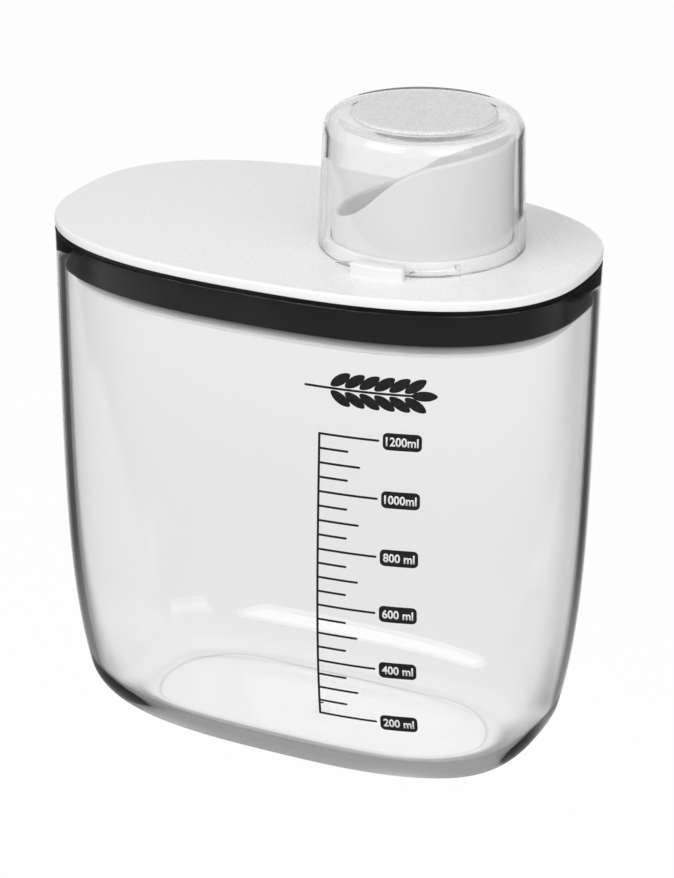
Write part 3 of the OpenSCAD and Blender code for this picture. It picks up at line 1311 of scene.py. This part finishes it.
@dataclass
class Spout:
    """White chute whose rounded rim follows an S along the lid."""

    lid: Lid
    finish: SatinPlastic = SatinPlastic("white_spout_plastic", 0.72)
    wall: float = 2.0
    rim_mid: float = 20.3
    rim_rise: float = 8.5
    rim_run: float = 10.3
    rim_slope: float = 0.124
    rim_shift: float = 2.5
    steps: int = 192
    lip_steps: int = 10

    def rim(self, x: float) -> float:
        """Height of the rim over the lid, at distance x along the lid from the axis."""
        steep = math.tanh((x + self.rim_shift) / self.rim_run)
        return self.rim_mid + self.rim_slope * x + self.rim_rise * steep

    def _ring(self, radius: float, height: float) -> Ring:
        """Ring of the chute at a height over the lid's top."""
        return circle(radius, self.lid.top_z + height, self.lid.spout_x, self.steps)

    def _rim_ring(self, radius: float, height: float) -> Ring:
        """Ring of the chute that follows its S-shaped rim.

        Args:
            radius: Its radius in millimetres.
            height: Its height over the rim.

        Returns:
            Its points.
        """
        reach = self.lid.spout_radius / radius
        ring = self._ring(radius, height)
        return [(x, y, z + self.rim((x - self.lid.spout_x) * reach)) for x, y, z in ring]

    def build_chute(self) -> Piece:
        """Builds the chute, from its flange up outside, over the rim and down inside."""
        lid = self.lid
        outer = lid.spout_radius
        low = -lid.cover - lid.spout_flange_depth
        half = self.wall / 2
        flange = outer + lid.spout_flange
        rings = [
            self._ring(radius, height)
            for radius, height in ((flange, low), (flange, -lid.cover), (outer, -lid.cover), (outer, 0.0))
        ]
        for step in range(self.lip_steps + 1):
            turn = math.pi * step / self.lip_steps
            reach = outer - half + half * math.cos(turn)
            rings.append(self._rim_ring(reach, half * math.sin(turn) - half))
        rings.append(self._ring(outer - self.wall, low))
        return skin("spout_chute", rings, loop=True)

    def build(self) -> List[Piece]:
        """Builds and dresses the spout."""
        return [dress(self.build_chute(), self.finish.make(), Body.LID, Slot.SPOUT, ["spout"])]


@dataclass
class Cup:
    """Clear measuring cup with bayonet lugs, upside down over the spout, and its soft seal."""

    lid: Lid
    seal_finish: SoftClear = SoftClear("clear_silicone")
    wave: Noise = Noise(70.0, 1.0)
    clarity: float = 0.96
    seal: float = 1.4
    seal_height: float = 3.5
    seal_round: float = 0.4
    running: float = 0.3
    height: float = 37.3
    draft: float = 1.1
    wall: float = 1.8
    top: float = 2.2
    shoulder: float = 4.7
    dish: float = 0.5
    disc_radius: float = 20.0
    disc_height: float = 0.9
    disc_edge: float = 0.8
    disc_round: float = 0.12
    disc_foot: float = 0.2
    disc_join: Flat = (0.05, 0.02)
    round_cut: float = 0.7
    mark_radius: float = 3.8
    mark_depth: float = 0.15
    mouth_round: float = 0.15
    ceiling_in: float = 1.0
    over_stops: float = 0.4
    lug_height: float = 2.2
    lug_reach: float = 1.1
    lug_soft: float = 0.7
    lug_foot: float = 0.02
    lug_steps: int = 12
    lug_from: float = 16.0
    lug_arc: float = 25.0
    lead_arc: float = 4.0
    lead_share: float = 0.6
    ramp_arc: float = 14.5
    ramp_low: float = 0.3
    ramp_steps: int = 8
    stop_arc: float = 2.0
    stop_overlap: float = 0.4
    stop_steps: int = 2
    stop_height: float = 3.2
    haze_share: float = 2.2
    catch_turn: float = -88.5
    steps: int = 192
    round_steps: int = 12

    @property
    def seal_radius(self) -> float:
        """Inner radius of the seal ring."""
        return self.lid.spout_radius + self.running

    @property
    def radius(self) -> float:
        """Outer radius of the cup at its mouth."""
        return self.seal_radius + self.seal + self.running + self.wall

    @property
    def lug_radius(self) -> float:
        """Outer radius of the lugs."""
        return self.radius + self.lug_reach

    def _skin(self, name: str, section: Sequence[Flat], loop: bool) -> Piece:
        """Skin round the spout's axis, by a section of radii and heights over the lid's top."""
        lid = self.lid
        return skin(name, [circle(r, lid.top_z + z, lid.spout_x, self.steps) for r, z in section], loop)

    def build_seal(self) -> Piece:
        """Builds the soft ring between the spout and the cup."""
        inner = self.seal_radius
        outer = inner + self.seal
        section = [(inner, 0), (outer, 0), (outer, self.seal_height), (inner, self.seal_height)]
        return self._skin("seal_ring", soften(section, self.seal_round), loop=True)

    def _top_section(self) -> List[Flat]:
        """Section of the dimple, the raised disc and the dish round it."""
        dish_z = self.height - self.dish
        disc_z = dish_z + self.disc_height
        foot_z = dish_z + self.disc_foot
        flat = self.disc_radius - self.disc_edge
        soft = self.disc_round
        cut = self.round_cut * soft
        return [
            (self.mark_radius - 2 * self.mark_depth, disc_z - self.mark_depth),
            (self.mark_radius - self.mark_depth, disc_z - self.round_cut * self.mark_depth),
            (self.mark_radius, disc_z), (flat - 3 * soft, disc_z), (flat - soft, disc_z),
            (flat + cut, disc_z - cut), (self.disc_radius - cut, foot_z + cut),
            (self.disc_radius, foot_z - soft),
            (self.disc_radius + self.disc_join[0], dish_z + self.disc_join[1]),
        ]

    def wall_section(self) -> List[Flat]:
        """Section of the cup, from the dimple over the shoulder and mouth to the ceiling inside."""
        top_r = self.radius - self.draft
        inner_top_r = top_r - self.wall
        inner_z = self.height - self.top
        inner_round = self.shoulder - self.wall
        points = self._top_section()
        for c, s in reversed(quarter(self.round_steps)):
            points.append((top_r - self.shoulder * (1 - c), self.height - self.shoulder * (1 - s)))
        over_lugs = self.stop_height + self.over_stops
        taper = self.draft * over_lugs / (self.height - self.shoulder)
        inner = self.radius - self.wall
        soft = self.mouth_round
        points += [
            (self.radius - taper, over_lugs), (self.radius, soft), (self.radius - soft, 0.0),
            (inner + soft, 0.0), (inner, soft), (inner - taper, over_lugs),
        ]
        for c, s in quarter(self.round_steps):
            points.append((inner_top_r - inner_round * (1 - c), inner_z - inner_round * (1 - s)))
        points.append((inner_top_r - inner_round - self.ceiling_in, inner_z))
        return points

    def _lug(self, name: str, height: float, start: float, arc: float, steps: int) -> Piece:
        """Lug, rooted in the middle of the wall.

        Args:
            name: Name of the new piece.
            height: Its height in millimetres.
            start: Angle of its first end, in degrees.
            arc: Its angle in degrees.
            steps: Steps of the spin.

        Returns:
            The lug.
        """
        root = self.radius - self.wall / 2
        edge = self.lug_radius
        soft = min(self.lug_soft, height / 3)
        cut = (1 - self.round_cut) * soft
        section = [
            (root, self.lug_foot), (root, height), (edge - soft, height),
            (edge - cut, height - cut), (edge, height - soft), (edge, self.lug_foot),
        ]
        return spun_block(name, section, (self.lid.spout_x, 0.0, self.lid.top_z), start, arc, steps)

    def build_lugs(self) -> List[Piece]:
        """Builds the lugs, stops and ramps beside both catches."""
        parts = []
        for middle in (self.catch_turn, self.catch_turn + 180):
            start = middle + self.lug_from
            stop_from = start + self.lug_arc - self.stop_overlap
            stop_arc = self.stop_arc + self.stop_overlap
            ramp_from = middle - self.lug_from - self.ramp_arc
            lug = self._lug("lug", self.lug_height, start, self.lug_arc, self.lug_steps)
            stop = self._lug("stop", self.stop_height, stop_from, stop_arc, self.stop_steps)
            ramp = self._lug("ramp", self.lug_height, ramp_from, self.ramp_arc, self.ramp_steps)
            self._slope(ramp, ramp_from, self.ramp_arc, self.ramp_low)
            self._slope(lug, start, self.lead_arc, self.lead_share * self.lug_height)
            parts += [lug, stop, ramp]
        return parts

    def _slope(self, piece: Piece, start: float, arc: float, low: float) -> None:
        """Slopes the top of a lug down towards its first end.

        Args:
            piece: The lug.
            start: Angle of its first end, in degrees.
            arc: Angle of the slope, in degrees.
            low: Height at the first end, in millimetres.
        """
        base = self.lid.top_z
        underside = 0.1
        for vert in piece.data.vertices:
            turn = math.degrees(math.atan2(vert.co.y / MM, vert.co.x / MM - self.lid.spout_x)) - start
            turn = (turn + 180) % 360 - 180
            share = min(1.0, max(0.0, turn / arc))
            height = low + (self.lug_height - low) * share
            rise = vert.co.z / MM - base
            if rise > underside:
                vert.co.z = (base + rise * height / self.lug_height) * MM

    def build_cup(self) -> Piece:
        """Builds the cup and joins its lugs to the wall."""
        piece = self._skin("cup_shell", self.wall_section(), loop=False)
        for lug in self.build_lugs():
            union = piece.modifiers.new("lug", "BOOLEAN")
            union.operation = "UNION"
            union.solver = "EXACT"
            union.object = lug
            take_up([piece])
            bpy.ops.object.modifier_apply(modifier=union.name)
            bpy.data.objects.remove(lug, do_unlink=True)
        return close_up(piece)

    def finish(self) -> ClearPlastic:
        """Clear plastic with a frosted disc and a mouth rubbed hazy round the lugs."""
        base = self.lid.top_z
        above = base + self.height - self.dish + self.disc_join[0]
        disc = FrostedZone(self.lid.spout_x, self.disc_radius + self.disc_join[1], above)
        foot = HazyFoot(base + self.lug_height, base + self.haze_share * self.lug_height)
        return ClearPlastic(
            "clear_cup_plastic", zones=(foot, disc), wave=self.wave, clarity=self.clarity
        )

    def build(self) -> List[Piece]:
        """Builds and dresses the cup and its seal."""
        return [
            dress(self.build_seal(), self.seal_finish.make(), Body.SEAL, Slot.SEAL, ["cup_seal"]),
            dress(self.build_cup(), self.finish().make(), Body.CUP, Slot.CUP, ["measuring_cup"]),
        ]


@dataclass
class Catches:
    """White bayonet catches in front of and behind the cup."""

    cup: Cup
    finish: SatinPlastic = SatinPlastic("white_catch_plastic", 0.86, roughness=0.3)
    half_arc: float = 14.0
    height: float = 3.5
    thickness: float = 2.9
    rounding: float = 0.9
    round_steps: int = 5
    sharp_angle: float = 40.0
    margin: float = 0.05
    steps: int = 14

    def build_one(self, name: str, middle: float) -> Piece:
        """Builds one catch.

        Args:
            name: Name of the piece.
            middle: Direction of its middle, in degrees.

        Returns:
            The piece.
        """
        cup = self.cup
        over = cup.radius + cup.running
        under = cup.lug_height + cup.running
        groove = cup.lug_radius + cup.running
        outer = groove + self.thickness
        section = [
            (groove, 0.0), (outer, 0.0), (outer, self.height),
            (over, self.height), (over, under), (groove, under),
        ]
        centre = (cup.lid.spout_x, 0.0, cup.lid.top_z)
        piece = spun_block(name, section, centre, middle - self.half_arc, 2 * self.half_arc, self.steps)
        self._round(piece, outer)
        return close_up(piece)

    def _round(self, piece: Piece, outer: float) -> None:
        """Rounds the outer and upper edges of a catch.

        Args:
            piece: The catch.
            outer: Radius of its outer face, in millimetres.
        """
        mesh = start_edit(piece, "DESELECT")
        bpy.ops.mesh.select_mode(type="EDGE")
        base = self.cup.lid.top_z
        axis = Vector((self.cup.lid.spout_x * MM, 0.0))
        for edge in mesh.edges:
            if len(edge.link_faces) != 2 or edge.calc_face_angle(0.0) < math.radians(self.sharp_angle):
                continue
            ends = [vert.co for vert in edge.verts]
            if max(end.z for end in ends) < (base + self.margin) * MM:
                continue
            reach = min((end.xy - axis).length for end in ends)
            at_top = min(end.z for end in ends) > (base + self.height - self.margin) * MM
            if reach > (outer - self.margin) * MM or at_top:
                edge.select_set(True)
        bmesh.update_edit_mesh(piece.data)
        bpy.ops.mesh.bevel(
            offset=self.rounding * MM, segments=self.round_steps, profile=0.5, affect="EDGES"
        )
        end_edit()

    def build(self) -> List[Piece]:
        """Builds and dresses both catches."""
        white = self.finish.make()
        front = self.build_one("catch_front", self.cup.catch_turn)
        rear = self.build_one("catch_rear", self.cup.catch_turn + 180)
        return [
            dress(front, white, Body.LID, Slot.CATCH, ["cup_catch_front"]),
            dress(rear, white, Body.LID, Slot.CATCH, ["cup_catch_rear"]),
        ]


# The studio


@dataclass(frozen=True)
class Softbox:
    """Rectangular area lamp that faces the object, with its place and size in metres."""

    name: str
    place: Point
    size: Flat
    watts: float
    aim: Point = (0, 0, 0.1)

    def build(self) -> Piece:
        """Adds the lamp."""
        data = bpy.data.lights.new(self.name, "AREA")
        data.shape = "RECTANGLE"
        data.size, data.size_y = self.size
        data.energy = self.watts
        lamp = bpy.data.objects.new(self.name, data)
        bpy.context.scene.collection.objects.link(lamp)
        turn = (Vector(self.aim) - Vector(self.place)).to_track_quat("-Z", "Y").to_matrix().to_4x4()
        lamp.matrix_world = Matrix.Translation(self.place) @ turn
        lamp.visible_camera = False
        return lamp


@dataclass
class Studio:
    """Camera, pale floor and soft light of the photograph's viewpoint; its floor is in metres."""

    camera_at: Point = (342.06, -709.81, 426.52)
    look_at: Point = (4.10, 0.0, 89.06)
    roll: float = 0.438
    lens: float = 122.32
    sensor: float = 36.0
    softboxes: Tuple[Softbox, ...] = (
        Softbox("key_softbox", (-0.45, -0.9, 1.0), (1.0, 0.66), 7.6),
        Softbox("side_softbox", (0.6, -0.4, 0.55), (0.7, 0.6), 2.5),
    )
    ambient: float = 0.475
    floor_size: float = 12.0
    floor_z: float = -0.0002
    floor_grey: float = 0.86
    floor_glow: float = 0.97
    floor_dark: Flat = (0.22, 0.06)
    dark_ends: Flat = (0.01, 0.11)
    floor_sides: Flat = (0.052, 0.078)
    floor_shift: float = 0.006
    flare: float = 0.42
    base_core: float = 0.030
    base_foot: Flat = (0.0212, 0.0222)
    base_edge: Flat = (0.0225, 0.029)
    base_out: Flat = (0.036, 0.060)
    base_shadow_depth: Flat = (0.66, 0.84)
    base_facing: Flat = (-0.35, 0.35)
    foot_shade_line: float = 0.14
    foot_shade: float = 0.05
    back_painted_shadow: float = 0.05
    back_from: Flat = (0.02, 0.05)
    back_to: Flat = (0.1, 0.3)
    world_dark: float = 0.5
    world_gloss: float = 0.75
    world_sides: Flat = (0.38, 0.52)
    world_front: Flat = (-0.6, -0.1)

    def build_camera(self) -> Piece:
        """Adds the camera and makes it the scene's camera."""
        place = Vector(self.camera_at) * MM
        forward = (Vector(self.look_at) * MM - place).normalized()
        right = forward.cross(Vector((0, 0, 1))).normalized()
        up = right.cross(forward)
        turn = math.radians(self.roll)
        x_axis = math.cos(turn) * right + math.sin(turn) * up
        y_axis = -math.sin(turn) * right + math.cos(turn) * up
        data = bpy.data.cameras.new("viewpoint")
        data.sensor_fit = "VERTICAL"
        data.sensor_height = self.sensor
        data.lens = self.lens
        camera = bpy.data.objects.new("viewpoint", data)
        bpy.context.scene.collection.objects.link(camera)
        turned = Matrix((x_axis, y_axis, -forward)).transposed().to_4x4()
        camera.matrix_world = Matrix.Translation(place) @ turned
        bpy.context.scene.camera = camera
        return camera

    def _axes(self) -> Tuple[Vector, Vector]:
        """Level directions of view: across to the right, and forwards."""
        forward = ((Vector(self.look_at) - Vector(self.camera_at)) * Vector((1, 1, 0))).normalized()
        return forward.cross(Vector((0, 0, 1))), forward

    def _white_zone(
        self, made: Recipe, place: Socket, sides: Flat, dark: Feed, flare: float = 0.0, shift: float = 0.0
    ) -> Socket:
        """Brightness of the surroundings behind the object: white, and dark to both sides.

        Args:
            made: The node tree.
            place: Position on the floor, or direction in the world.
            sides: Distances across where the white starts to fade and where it ends.
            dark: Brightness to both sides, a number or a socket.
            flare: How much the white widens for each step forwards.
            shift: Distance of its middle to the right.

        Returns:
            The brightness socket.
        """
        across, forward = self._axes()
        aside = made.math("ABSOLUTE", made.math("SUBTRACT", made.along(place, across), shift))
        ahead = made.math("ABSOLUTE", made.along(place, forward))
        return made.fade(
            made.math("SUBTRACT", aside, made.math("MULTIPLY", ahead, flare)), sides, (1.0, dark)
        )

    def _base_shade(self, made: Recipe) -> Socket:
        """Brightness of the floor under the base, with painted shade: a shaded line at the foot, and a
        painted contact shadow round its near side.

        Args:
            made: The node tree.

        Returns:
            The brightness socket.
        """
        shortest = 0.001
        near = self._axes()[1]
        x = made.part("X")
        y = made.part("Y")
        core = made.math("MINIMUM", made.math("MAXIMUM", x, -self.base_core), self.base_core)
        side = made.math("SUBTRACT", x, core)
        square = made.math("ADD", made.math("POWER", side, 2.0), made.math("POWER", y, 2.0))
        away = made.math("MAXIMUM", made.math("SQRT", square), shortest)
        ahead = made.math("ADD", made.math("MULTIPLY", side, near.x), made.math("MULTIPLY", y, near.y))
        facing = made.fade(made.math("DIVIDE", ahead, away), self.base_facing, (1.0, 0.0))
        # Painted contact shadow: the floor darkens round the near side of the base, where the object
        # shades it.
        near_base, far_out = self.base_shadow_depth
        edge = made.math(
            "ADD", made.fade(away, self.base_edge, (0.0, near_base)),
            made.fade(away, self.base_out, (0.0, far_out - near_base)),
        )
        # Painted shade: a faint shade outside the foot, and a darker line along it.
        outside = made.math("GREATER_THAN", away, self.base_foot[0])
        on_line = made.math("MULTIPLY", outside, made.math("LESS_THAN", away, self.base_foot[1]))
        shade = made.math(
            "ADD", made.math("MULTIPLY", outside, self.foot_shade),
            made.math("MULTIPLY", on_line, self.foot_shade_line),
        )
        shade = made.math("MAXIMUM", shade, made.math("MULTIPLY", edge, facing))
        return made.math("SUBTRACT", 1.0, shade)

    def _seen(self, made: Recipe, zone: Socket, gloss: float) -> Tuple[Socket, Socket]:
        """What the camera sees as white, and gloss and clear pieces see as the zone.

        Args:
            made: The node tree.
            zone: Brightness of the surroundings.
            gloss: Share of that brightness that gloss sees.

        Returns:
            Socket that is 1 for those rays, and their brightness.
        """
        first_bounces = 0.5
        path = made.add("LightPath").outputs
        dimmed = made.math("MULTIPLY", path["Is Glossy Ray"], 1 - gloss)
        zone = made.math("MULTIPLY", zone, made.math("SUBTRACT", 1.0, dimmed))
        bounced = made.math("MAXIMUM", path["Is Glossy Ray"], path["Is Transmission Ray"])
        undiffused = made.math("LESS_THAN", path["Diffuse Depth"], first_bounces)
        direct = made.math("MULTIPLY", bounced, undiffused)
        seen = made.math("MAXIMUM", path["Is Camera Ray"], direct)
        level = made.math("MAXIMUM", path["Is Camera Ray"], made.math("MULTIPLY", direct, zone))
        return seen, level

    def build_floor(self) -> Piece:
        """Adds the pale floor, white behind the object and dark round it to gloss and clear pieces, with
        painted shadows under and behind the object.
        """
        floor = added(
            bpy.ops.mesh.primitive_plane_add, size=self.floor_size, location=(0, 0, self.floor_z)
        )
        name_piece(floor, "studio_floor")
        made = Recipe("pale_floor")
        place = made.place()
        # Painted shadow of the object on the floor behind it, seen through the clear walls.
        depth = made.part("Y")
        shade = made.math(
            "MULTIPLY", made.fade(depth, self.back_from, (0.0, self.back_painted_shadow)),
            made.fade(depth, self.back_to, (1.0, 0.0)),
        )
        lit = made.math("MULTIPLY", self._base_shade(made), made.math("SUBTRACT", 1.0, shade))
        dark = made.fade(made.along(place, self._axes()[1]), self.dark_ends, self.floor_dark)
        sides = self._white_zone(made, place, self.floor_sides, dark, self.flare, self.floor_shift)
        seen, level = self._seen(made, made.math("MINIMUM", lit, sides), 1.0)
        matt = made.add("BsdfDiffuse", Color=grey(self.floor_grey))
        glow = made.add("Emission", Color=grey(1.0), Strength=level)
        share = made.math("MULTIPLY", seen, self.floor_glow)
        floor.data.materials.append(made.output(made.mix(share, matt, glow)))
        return floor

    def build_world(self) -> None:
        """Makes the world white to the eye, a lit studio to gloss, and a plain ambient light otherwise."""
        world = bpy.data.worlds.new("studio")
        bpy.context.scene.world = world
        made = Recipe("studio", world)
        direction = made.add("TexCoord").outputs["Generated"]
        ahead = made.along(direction, self._axes()[1])
        front = made.fade(ahead, self.world_front, (self.world_dark, 1.0))
        sides = self._white_zone(made, direction, self.world_sides, self.world_dark)
        seen, level = self._seen(made, made.math("MULTIPLY", front, sides), self.world_gloss)
        ambient = made.add("Background", Color=grey(1.0), Strength=self.ambient)
        white = made.add("Background", Color=grey(1.0), Strength=level)
        made.add("OutputWorld", Surface=made.mix(seen, ambient, white))

    def build(self) -> None:
        """Sets up the whole studio."""
        self.build_camera()
        self.build_floor()
        self.build_world()
        for softbox in self.softboxes:
            softbox.build()
        bpy.context.scene.view_settings.view_transform = "Standard"


def main() -> None:
    """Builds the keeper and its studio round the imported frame."""
    logging.basicConfig(level=logging.INFO, format="%(name)s: %(message)s")
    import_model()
    jar = Jar()
    lid = Lid(jar)
    cup = Cup(lid)
    for assembly in (jar, PrintedScale(jar), lid, Spout(lid), cup, Catches(cup)):
        for piece in assembly.build():
            LOG.info("%s has %d faces", piece.name, len(piece.data.polygons))
    Studio().build()


if __name__ == "__main__":
    main()
